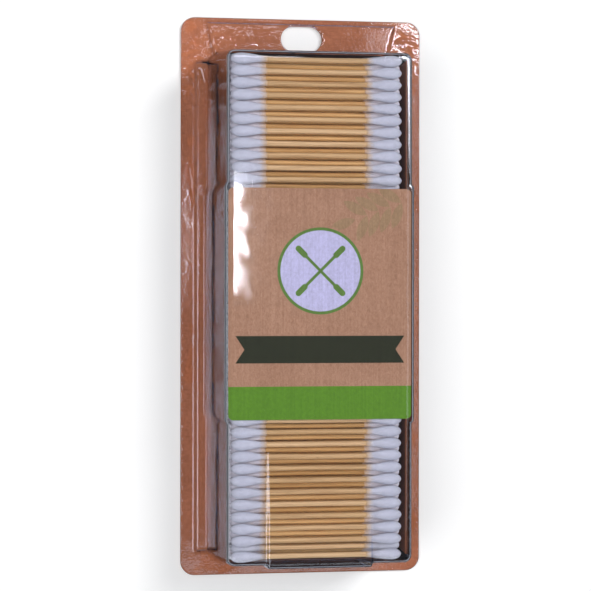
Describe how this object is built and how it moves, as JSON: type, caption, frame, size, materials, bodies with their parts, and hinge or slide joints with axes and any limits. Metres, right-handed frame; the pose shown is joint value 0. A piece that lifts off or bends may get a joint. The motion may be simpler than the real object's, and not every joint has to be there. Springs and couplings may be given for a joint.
{
  "type": "blister pack of cotton swabs",
  "caption": "Clear thermoformed blister on a brown card, packed with layers of cotton swabs behind a flat label, with a hang hole in the header.",
  "frame": {"origin": "under the middle of the card, on the surface that the pack lies on", "axes": "+X across the pack to the right, +Y along the pack towards the hang hole, +Z out of the clear front"},
  "size_m": [0.113, 0.2588, 0.0576],
  "materials": {
    "kraft_back": "smooth brown kraft board, dark on its inner face",
    "kraft_insert": "smooth brown kraft board with fine fibres",
    "clear_film": "clear glossy thermoformed film",
    "label_kraft": "light kraft card with fine vertical lines",
    "print_green": "matt green print",
    "print_dark_green": "matt dark green print",
    "print_white": "matt white print",
    "print_olive": "faint olive print",
    "bamboo": "plain pale bamboo with long grain",
    "cotton": "soft wound cotton wool"
  },
  "bodies": {
    "root": {"back_card": "kraft_back", "insert_card": "kraft_insert", "blister": "clear_film", "label_card": "label_kraft", "stripe_print": "print_green", "ribbon_print": "print_dark_green", "badge_field": "print_white", "badge_print": "print_green", "sprig_print": "print_olive", "sticks_1": "bamboo", "sticks_2": "bamboo", "sticks_3": "bamboo", "sticks_4": "bamboo", "sticks_5": "bamboo", "sticks_6": "bamboo", "sticks_7": "bamboo", "sticks_8": "bamboo", "sticks_9": "bamboo", "sticks_10": "bamboo", "sticks_11": "bamboo", "sticks_12": "bamboo", "cotton_1": "cotton", "cotton_2": "cotton", "cotton_3": "cotton", "cotton_4": "cotton", "cotton_5": "cotton", "cotton_6": "cotton", "cotton_7": "cotton", "cotton_8": "cotton", "cotton_9": "cotton", "cotton_10": "cotton", "cotton_11": "cotton", "cotton_12": "cotton"}
  },
  "joints": []
}
